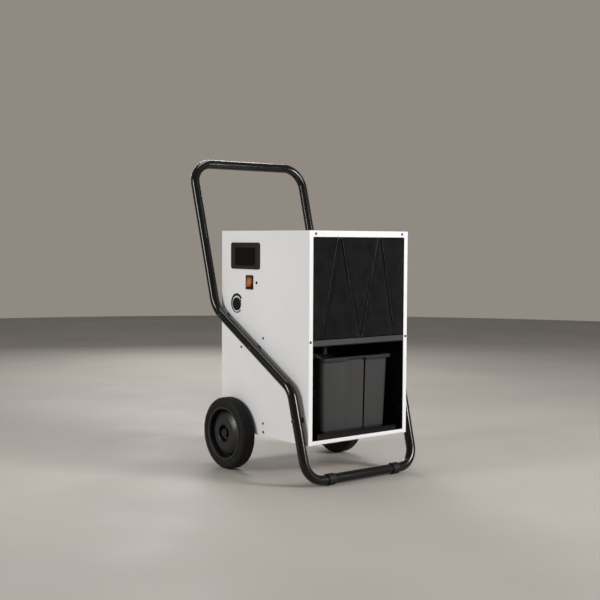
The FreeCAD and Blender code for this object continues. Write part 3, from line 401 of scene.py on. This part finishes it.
def settle(name, shape, body, slot, *nodes, material=None):
    """Closes a shape up and makes it a piece that rides on a body and stands for the nodes given."""
    bmesh.ops.remove_doubles(shape, verts=shape.verts, dist=WELD)
    bmesh.ops.recalc_face_normals(shape, faces=shape.faces)
    mesh = bpy.data.meshes.new(name)
    shape.to_mesh(mesh)
    shape.free()
    mesh.shade_smooth()
    mesh.set_sharp_from_angle(angle=SHARP_ANGLE)
    mesh.materials.append(material or MATERIALS[slot])
    piece = bpy.data.objects.new(name, mesh)
    bpy.context.scene.collection.objects.link(piece)
    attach(piece, body)
    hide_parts(*nodes)
    return piece


def cap(shape):
    """Fills every open edge loop."""
    bmesh.ops.holes_fill(shape, edges=[e for e in shape.edges if e.is_boundary], sides=0)


def only(kind, geom):
    """What an operator made, kept to one kind of element."""
    return [element for element in geom if isinstance(element, kind)]


# Tubes: the frame's tube runs outside the casing, bends in to the foot bar and up to the handle.
RING_SIDES = 32
BEND_STEPS_PER_RADIAN = 14
TUBE_X = 0.2218
FOOT_X = 0.2165
LOW_BEND = Vector((-TUBE_X, -0.2230, 0.2826))
HIGH_BEND = Vector((-TUBE_X, 0.1644, 0.5020))
BEND_RADII = (0.062, 0.065, 0.090, 0.070)


def tube_along(points, bend_radii, radius):
    """A round tube along straight runs, swung round at each corner on its bend radius."""
    shape = bmesh.new()
    ahead = (points[1] - points[0]).normalized()
    turn = ahead.to_track_quat("Z", "Y").to_matrix().to_4x4()
    bmesh.ops.create_circle(shape, segments=RING_SIDES, radius=radius,
                            matrix=Matrix.Translation(points[0]) @ turn)
    ring = shape.edges[:]
    here = points[0]
    for i in range(1, len(points)):
        before = (points[i] - points[i - 1]).normalized()
        last = i == len(points) - 1
        after = before if last else (points[i + 1] - points[i]).normalized()
        angle = before.angle(after)
        reach = 0 if last else bend_radii[i - 1] * math.tan(angle / 2)
        stop = points[i] - before * reach
        made = bmesh.ops.extrude_edge_only(shape, edges=ring)["geom"]
        bmesh.ops.translate(shape, vec=stop - here, verts=only(bmesh.types.BMVert, made))
        ring = only(bmesh.types.BMEdge, made)
        if last:
            break
        axis = before.cross(after).normalized()
        inward = axis.cross(before).normalized()
        swung = bmesh.ops.spin(shape, geom=ring, cent=stop + inward * bend_radii[i - 1], axis=axis,
                               angle=angle, steps=max(4, round(angle * BEND_STEPS_PER_RADIAN)))["geom_last"]
        ring = only(bmesh.types.BMEdge, swung)
        here = points[i] + after * reach
    cap(shape)
    return shape


def frame_tube():
    """The carrying frame's bent tube, from one foot joint over the handle to the other, and its foot."""
    middle, half = size_of("frame_tube")
    foot, foot_half = size_of("foot_bar")
    radius = foot_half.z
    handle = Vector((-half.x + radius, middle.y + half.y - radius, middle.z + half.z - radius))
    corner = Vector((-FOOT_X, foot.y, foot.z))
    left = [Vector((-foot_half.x, foot.y, foot.z)), corner, LOW_BEND, HIGH_BEND, handle]
    right = [Vector((-p.x, p.y, p.z)) for p in reversed(left)]
    bent = tube_along(left + right, BEND_RADII + BEND_RADII[::-1], radius)
    settle("carrying_tube", bent, "casing", "tube_coat", "frame_tube")
    straight = tube_along([left[0], right[-1]], (), radius)
    settle("foot_tube", straight, "casing", "tube_coat", "foot_bar")


# Wheels. Their outlines are in millimetres.
LATHE_STEPS = 112
ROUNDING_STEP = 1.6


def lathe(outline, centre, outward):
    """Spins a closed outline round the X axis.

    Each corner is its radius from the axis, its distance outward along X and its own rounding. An
    outward of -1 turns the distances to the left side.
    """
    shape = bmesh.new()
    corners = [shape.verts.new((along * outward * MM, 0, radius * MM)) for radius, along, _ in outline]
    for start, end in zip(corners, corners[1:] + corners[:1]):
        shape.edges.new((start, end))
    for corner, (_, _, rounding) in zip(corners, outline):
        if not rounding:
            continue
        one, other = (e.other_vert(corner).co - corner.co for e in corner.link_edges)
        setback = rounding * MM / math.tan(one.angle(other) / 2)
        bmesh.ops.bevel(shape, geom=[corner], offset=setback, offset_type="OFFSET", affect="VERTICES",
                        segments=max(3, round(rounding / ROUNDING_STEP)), profile=0.5, material=-1)
    bmesh.ops.spin(shape, geom=shape.verts[:] + shape.edges[:], cent=(0, 0, 0), axis=(1, 0, 0),
                   angle=2 * math.pi, steps=LATHE_STEPS, use_merge=True)
    bmesh.ops.translate(shape, vec=centre, verts=shape.verts)
    return shape


def tyre(hand, outward):
    """Solid tyre with rounded shoulders, its beads over the rim's lips."""
    middle, half = size_of("tyre_" + hand)
    rim_half = size_of("wheel_" + hand)[1]
    tread = half.z / MM
    width = half.x / MM
    seat = rim_half.z / MM - 4
    lip = rim_half.z / MM + 0.4
    bead = rim_half.x / MM - 2
    wall = lip + 7
    outline = [(seat, -bead, 0), (lip, -bead, 0), (wall, -width, 3), (tread, -width, 14),
               (tread, width, 14), (wall, width, 3), (lip, bead, 0), (seat, bead, 0)]
    shape = lathe(outline, middle, outward)
    settle("rubber_tyre_" + hand, shape, "wheel_" + hand, "tyre_rubber", "tyre_" + hand)


def wheel_disc(hand, outward):
    """Moulded disc: dished from its hub out to a ring groove, with a rim that the tyre sits in."""
    middle = size_of("tyre_" + hand)[0]
    rim = size_of("wheel_" + hand)[1].z / MM
    seat = rim - 4
    well = seat - 4
    bore = 11
    hub_well = [(bore, 4, 0), (25, 4, 2)]
    dish = [(27, 21, 3), (48, 19.5, 24), (67, 11, 6)]
    ring_groove = [(72, 0, 1.5), (well - 1, 0, 1)]
    outer_lip = [(well, 21.5, 1.4), (rim, 22.5, 0.8), (rim, 20.5, 0), (seat, 20.5, 0)]
    inner_lip = [(seat, -20.5, 0), (rim, -20.5, 0), (rim, -22.5, 0.8), (well, -22.5, 0)]
    back = [(well, -4, 2), (69, -4, 2), (64, 7, 4), (47, 15, 16), (31, 16.5, 2), (31, 0, 0)]
    hub_tube = [(22, 0, 0), (22, -21, 1), (bore, -21, 0)]
    outline = hub_well + dish + ring_groove + outer_lip + inner_lip + back + hub_tube
    shape = lathe(outline, middle, outward)
    settle("wheel_disc_" + hand, shape, "wheel_" + hand, "rim_plastic", "wheel_" + hand)


# Foam pad. The wire's tops and valley are where its bends sit across the pad.
WIRE_TOPS = (-79 * MM, 82 * MM)
WIRE_VALLEY = 3 * MM
WIRE_INSET = 2 * MM
PAD_CELLS = (150, 130)
DENT_DEPTH = 2.6 * MM
DENT_SPREAD = 9 * MM
TUCK_DEPTH = 3.0 * MM
TUCK_SPREAD = 3.5 * MM
LUMPS = ((1.5 * MM, 28), (0.7 * MM, 85))  # depth, and how many to the metre


def wire_runs():
    """The spring wire's slanting runs, seen from the front: pairs of ends (x, z)."""
    low, high = (Vector(c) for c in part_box("filter_wire"))
    corners = [(low.x + WIRE_INSET, low.z), (WIRE_TOPS[0], high.z), (WIRE_VALLEY, low.z),
               (WIRE_TOPS[1], high.z), (high.x - WIRE_INSET, low.z)]
    return [(Vector(start), Vector(end)) for start, end in zip(corners, corners[1:])]


def gap_to_wire(place, runs):
    """Distance from a place on the pad's face to the nearest run of the wire."""
    here = Vector((place.x, place.z))
    gaps = []
    for start, end in runs:
        run = end - start
        share = min(1.0, max(0.0, (here - start).dot(run) / run.length_squared))
        gaps.append((start + run * share - here).length)
    return min(gaps)


def foam_pad():
    """The filter pad: soft between the spring wire's runs, drawn in where the wire presses."""
    middle, half = size_of("filter_foam")
    runs = wire_runs()
    shape = bmesh.new()
    bmesh.ops.create_grid(shape, x_segments=PAD_CELLS[0], y_segments=PAD_CELLS[1], size=0.5)
    bmesh.ops.rotate(shape, matrix=Matrix.Rotation(math.pi / 2, 3, "X"), verts=shape.verts)
    bmesh.ops.scale(shape, vec=(2 * half.x, 1, 2 * half.z), verts=shape.verts)
    bmesh.ops.translate(shape, vec=(middle.x, middle.y - half.y, middle.z), verts=shape.verts)
    rim = [e for e in shape.edges if e.is_boundary]
    made = bmesh.ops.extrude_edge_only(shape, edges=rim)["geom"]
    back = only(bmesh.types.BMVert, made)
    bmesh.ops.translate(shape, vec=(0, 2 * half.y, 0), verts=back)
    behind = set(back)
    for vert in [v for v in shape.verts if v not in behind]:
        place = vert.co
        dent = DENT_DEPTH * math.exp(-(gap_to_wire(place, runs) / DENT_SPREAD) ** 2)
        edge = min(half.x - abs(place.x - middle.x), half.z - abs(place.z - middle.z))
        tuck = TUCK_DEPTH * math.exp(-edge / TUCK_SPREAD)
        lumps = sum(depth * noise.noise(place * closeness) for depth, closeness in LUMPS)
        vert.co.y += dent + tuck + lumps
    cap(shape)
    pad = settle("foam_pad", shape, "filter", "filter_foam", "filter_foam")


def bay_shelf():
    """Shelf under the bucket: folded sheet whose rounded front edge catches the light."""
    middle, half = size_of("bucket_shelf")
    sheet = 2 * MM
    fold_radius = 2.4 * MM
    shape = bmesh.new()
    bmesh.ops.create_cube(shape, size=2, matrix=Matrix.Translation(middle) @ Matrix.Diagonal((*half, 1)))
    open_sides = [f for f in shape.faces if f.normal.z < -0.5 or f.normal.y > 0.5]
    bmesh.ops.delete(shape, geom=open_sides, context="FACES")
    folds = [e for e in shape.edges if all(v.co.z > middle.z for v in e.verts) and not e.is_boundary]
    bmesh.ops.bevel(shape, geom=folds, offset=fold_radius, offset_type="OFFSET", affect="EDGES",
                    segments=4, profile=0.5, material=-1)
    bmesh.ops.recalc_face_normals(shape, faces=shape.faces)
    bmesh.ops.solidify(shape, geom=shape.faces[:], thickness=sheet)
    settle("bay_shelf", shape, "casing", "dark_coat", "bucket_shelf", material=SHELF_ENAMEL)


frame_tube()
bay_shelf()
for hand, outward in (("left", -1), ("right", 1)):
    tyre(hand, outward)
    wheel_disc(hand, outward)
foam_pad()

# Stage: floor, lamps and camera --------------------------------------------------------------

FLOOR_RADIUS = 7.0

CAMERA_PLACE = (-2.2173, -2.7203, 0.7200)
CAMERA_LENS = 65.7
SENSOR_WIDTH = 36.0
YAW = math.radians(39.06)
PITCH = math.radians(3.10)
ROLL = math.radians(0.30)

# Each lamp's place, the point that it faces, its width and height, and its power in watts.
LAMPS = {
    "key": ((1.5, -3.2, 1.7), (0, -0.2, 0.45), (1.0, 1.4), 116),
    "side_panel": ((-3.4, 0.6, 1.6), (0, 0, 0.45), (0.6, 1.6), 62),
    "top": ((0.2, 0.4, 3.2), (0, 0, 0.4), (1.4, 1.4), 30),
    "back": ((1.6, 3.0, 1.8), (0, 0, 0.5), (1.2, 1.6), 40),
}


def stage_floor():
    """Pale round floor."""
    shape = bmesh.new()
    bmesh.ops.create_circle(shape, cap_ends=True, segments=128, radius=FLOOR_RADIUS)
    mesh = bpy.data.meshes.new("stage_floor")
    shape.to_mesh(mesh)
    shape.free()
    mesh.materials.append(matt_studio_floor())
    floor = bpy.data.objects.new("stage_floor", mesh)
    bpy.context.scene.collection.objects.link(floor)


def area_lamp(name, place, target, size, power):
    """A soft rectangular lamp that faces its target."""
    lamp = bpy.data.lights.new(name, "AREA")
    lamp.shape = "RECTANGLE"
    lamp.size, lamp.size_y = size
    lamp.energy = power
    holder = bpy.data.objects.new(name, lamp)
    holder.location = place
    holder.rotation_euler = (Vector(target) - Vector(place)).to_track_quat("-Z", "Y").to_euler()
    bpy.context.scene.collection.objects.link(holder)


def make_camera():
    """A camera a little above the machine's middle, to the left of its front."""
    data = bpy.data.cameras.new("camera")
    data.lens = CAMERA_LENS
    data.sensor_width = SENSOR_WIDTH
    camera = bpy.data.objects.new("camera", data)
    turn = Matrix.Rotation(-YAW, 4, "Z") @ Matrix.Rotation(math.pi / 2 - PITCH, 4, "X")
    camera.matrix_world = Matrix.Translation(CAMERA_PLACE) @ turn @ Matrix.Rotation(ROLL, 4, "Z")
    bpy.context.scene.collection.objects.link(camera)
    bpy.context.scene.camera = camera


def studio_world():
    """Even soft light, with a plain pale wall where the camera or a reflection looks past the floor."""
    world = bpy.data.worlds.new("studio")
    world.use_nodes = True
    tree = world.node_tree
    light = tree.nodes["Background"]
    light.inputs["Color"].default_value = colour("fdfcfb")
    light.inputs["Strength"].default_value = 0.2
    wall = add(tree, "Background", {"Color": colour("918a82"), "Strength": 1.0})
    seen = add(tree, "LightPath").outputs
    direct = add(tree, "Math", {"operation": "MAXIMUM"},
                 {0: seen["Is Camera Ray"], 1: seen["Is Glossy Ray"]})
    either = add(tree, "Math", {"operation": "MAXIMUM"},
                 {0: direct.outputs["Value"], 1: seen["Is Transmission Ray"]})
    mixed = add(tree, "MixShader", links={0: either.outputs["Value"], 1: light.outputs["Background"],
                                          2: wall.outputs["Background"]})
    tree.links.new(mixed.outputs["Shader"], tree.nodes["World Output"].inputs["Surface"])
    bpy.context.scene.world = world


stage_floor()
make_camera()
for name, lamp in LAMPS.items():
    area_lamp(name, *lamp)
studio_world()
bpy.context.scene.view_settings.view_transform = "Standard"
